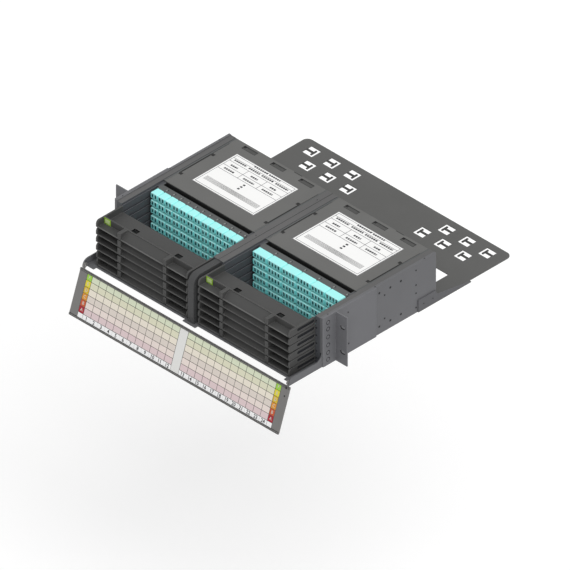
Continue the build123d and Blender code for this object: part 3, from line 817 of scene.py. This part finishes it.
for side_name, level in drawers:
    count, ports = adapter_counts[side_name], port_counts[side_name]
    body, node = f"{side_name}_drawer_{level}", f"{side_name}_adapters_{level}"
    cover_low, cover_high = (corner / mm
                             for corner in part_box(f"{side_name}_cassette_cover_{level}"))
    row_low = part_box(node)[0] / mm
    middle, underside = (cover_low.x + cover_high.x) / 2, cover_high.z - cassette_high
    pitch = adapter_span / count
    adapter, adapter_tints = adapter_block(pitch - block_gap, block_high, block_deep, ports)
    centres = middle + (np.arange(count) - (count - 1) / 2) * pitch
    front_origins = [(x, row_low.y, row_low.z) for x in centres]
    trunk_origins = [(middle + x, cover_high.y, underside + trunk_rise) for x in trunk_places]
    row = np.concatenate([set_out(adapter, front_origins, *facing_front),
                          set_out(trunk_corners, trunk_origins, *facing_back)])
    row_tints = np.concatenate([np.tile(adapter_tints, (count, 1, 1)),
                                np.tile(trunk_tints, (len(trunk_places), 1, 1))])
    adapters = add_printed(f"{side_name}_adapter_row_{level}", body, row, row_tints,
                           adapter_resin)
    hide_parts(node)
    places = (centres[:, None] + (np.arange(ports) - (ports - 1) / 2) * port_pitch).ravel()
    sleeve_centres = np.stack([places, np.full(len(places), row_low.y),
                               np.full(len(places), row_low.z + (port_low + port_shoulder) / 2)], 1)
    points, faces, _ = turned_heads(sleeve_profile, sleeve_centres, (0, -1, 0), few_steps)
    add_piece(f"{side_name}_sleeves_{level}", body, points, faces,
              (sleeve_ceramic_and_highlight,))

# The door drops down on two studs and hangs open. It is a moulded panel with a grooved bar along
# each long edge, and its inner face holds a printed card with a cell for every port.
door_resin = surface_finish("door_moulding", (0.19, 0.185, 0.18), 0.5, 0.4, 0.02)
dress("door_panel", door_resin)
stud_steel = surface_finish("stud_steel", (0.5, 0.5, 0.5), 0.35, 0.3, 0.005)
stud_steel.node_tree.nodes["Principled BSDF"].inputs["Metallic"].default_value = 1.0
dress("hinge_pins", stud_steel)

door_turn = math.radians(161.0)
door_axis = np.array((0.0, -93.0, -39.55))
card_up = np.array((0, math.sin(door_turn), -math.cos(door_turn)))
card_out = np.array((0, math.cos(door_turn), math.sin(door_turn)))
card_back, card_thick, card_hinge_gap = 0.7, 0.4, 9.3
card_wide, card_high = 406.0, 71.0
key_wide, column_wide, divider_wide, cell_high = 10.6, 15.3, 17.0, 10.4
columns_each, line_half, number_gap = 12, 0.38, 0.1
card_edge = (card_wide - 2 * key_wide - divider_wide - 2 * columns_each * column_wide) / 2
row_colours = ((0.69, 0.74, 0.56), (0.72, 0.71, 0.54), (0.82, 0.76, 0.65), (0.72, 0.65, 0.59),
               (0.81, 0.71, 0.66), (0.72, 0.58, 0.59))
key_colours = ((0.34, 0.62, 0.07), (0.74, 0.65, 0.045), (0.68, 0.46, 0.035), (0.70, 0.29, 0.03),
               (0.56, 0.10, 0.035), (0.39, 0.012, 0.03))
number_tone, divider_tone, card_line = (0.92, 0.92, 0.92), (0.76, 0.76, 0.74), (0.05, 0.047, 0.042)


def door_card_boxes():
    """Boxes of the door's card: six coloured rows in two blocks of twelve columns, a column of key
    colours at each end, a grey divider in the middle and a row for numbers along the foot."""
    blocks = (card_edge + key_wide,
              card_edge + key_wide + columns_each * column_wide + divider_wide)
    keys = (card_edge, card_wide - card_edge - key_wide)
    divider = blocks[0] + columns_each * column_wide
    boxes = [(0, 0, card_wide, card_high, card_line),
             (divider + line_half, line_half, divider + divider_wide - line_half,
              card_high - line_half, divider_tone)]
    foot = card_high - len(row_colours) * cell_high
    for row, (tone, key_tone) in enumerate(zip(row_colours, key_colours)):
        high = card_high - row * cell_high - line_half
        low = card_high - (row + 1) * cell_high + line_half
        for start in blocks:
            for column in range(columns_each):
                left = start + column * column_wide + line_half
                boxes.append((left, low, left + column_wide - 2 * line_half, high, tone))
        boxes += [(start + line_half, low, start + key_wide - line_half, high, key_tone)
                  for start in keys]
    for start in blocks:
        for column in range(columns_each):
            left = start + column * column_wide + number_gap
            right = left + column_wide - 2 * number_gap
            boxes.append((left, line_half, right, foot - line_half, number_tone))
    boxes += [(start + line_half, line_half, start + key_wide - line_half, foot - line_half,
               number_tone) for start in keys]
    return boxes, blocks, keys, foot


card_boxes, card_blocks, card_keys, card_foot = door_card_boxes()
card_lines, card_rises, card_colour = print_grid(card_wide, card_high, card_boxes, number_tone)
card_corners, card_tints = stepped_face(card_lines, card_rises, 0.0, card_colour, card_thick,
                                        number_tone)
card_corner = (door_axis + card_out * (card_back + card_thick)
               - card_up * (card_hinge_gap + card_high) + (-card_wide / 2, 0, 0))
facing_card = ((1, 0, 0), -card_out, card_up)
door_card = add_printed("door_card", "door",
                        set_out(card_corners, [card_corner], *facing_card), card_tints, label_card)
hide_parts("door_label_sheet")


def add_lettering(name, words, height, weight, ink):
    """Plain printed figures on the card: each word's flat outline, grown by the weight, is centred
    on its place, point = card corner + across right + up card_up + lift card_out."""
    points, faces, lift = [], [], 0.08
    for word, across, up in words:
        curve = bpy.data.curves.new(word, "FONT")
        curve.body, curve.size, curve.resolution_u, curve.offset = word, height, 2, weight
        curve.align_x, curve.align_y = "CENTER", "CENTER"
        holder = bpy.data.objects.new(word, curve)
        outline = bpy.data.meshes.new_from_object(holder)
        flat = np.empty(len(outline.vertices) * 3)
        outline.vertices.foreach_get("co", flat)
        flat = flat.reshape(-1, 3) + (across, up, 0)
        start = sum(len(block) for block in points)
        points.append(card_corner + flat[:, :1] * (1, 0, 0) + flat[:, 1:2] * card_up
                      + lift * card_out)
        faces += [[corner + start for corner in polygon.vertices] for polygon in outline.polygons]
        bpy.data.objects.remove(holder)
        bpy.data.meshes.remove(outline)
        bpy.data.curves.remove(curve)
    add_piece(name, "door", np.concatenate(points), faces, (ink,))


number_ink = surface_finish("number_ink", (0.008, 0.008, 0.01), 0.6, 0.3, 0.002, edge=0.0)
letter_ink = surface_finish("letter_ink", (0.62, 0.60, 0.52), 0.6, 0.3, 0.002, edge=0.0)
number_size, number_weight, letter_size, letter_weight = 8.2, 0.16, 7.2, 0.1
numbers = [(str(1 + column + block * columns_each), start + (column + 0.5) * column_wide,
            card_foot / 2)
           for block, start in enumerate(card_blocks) for column in range(columns_each)]
add_lettering("card_numbers", numbers, number_size, number_weight, number_ink)
letters = [(letter, start + key_wide / 2, card_high - (row + 0.5) * cell_high)
           for start in card_keys for row, letter in enumerate("FEDCBA")]
add_lettering("card_letters", letters, letter_size, letter_weight, letter_ink)

# Dark strips lie along the two edge bars of the door and widen them, painted shade in the
# bars' grooves, and two small dark squares mark the door's right end.
bar_shade, bar_root, door_half = (0.035, 0.036, 0.036), 1.15, 218.4
bar_strips = ((6.65, 0.55, 2.14), (9.2, 0.9, 1.6), (79.5, 0.9, 1.6), (82.4, 0.55, 2.14))
bars, bar_colours = [], []
for down, wide, lift in bar_strips:
    strip, strip_tint = stepped_face((0, 2 * door_half), (0, wide), 0.0, bar_shade, lift - bar_root,
                                     bar_shade)
    origin = door_axis + card_out * lift - card_up * (down + wide) + (-door_half, 0, 0)
    bars.append(set_out(strip, [origin], *facing_card))
    bar_colours.append(strip_tint)
add_printed("door_bar_lines", "door", np.concatenate(bars),
            np.concatenate(bar_colours), trim_finish)
dot_side, dot_deep, dot_places = 2.4, 1.15, ((212.3, 9.6, 2.3), (212.3, 22.9, 1.28))
dot_corners, dot_tints = stepped_face((0, dot_side), (0, dot_side), 0.0, groove_black, dot_deep,
                                      groove_black)
dot_origins = [door_axis + card_out * lift + (x - dot_side / 2, 0, 0)
               - card_up * (down + dot_side / 2) for x, down, lift in dot_places]
add_printed("door_dots", "door", set_out(dot_corners, dot_origins, *facing_card),
            np.tile(dot_tints, (len(dot_origins), 1, 1)), trim_finish)
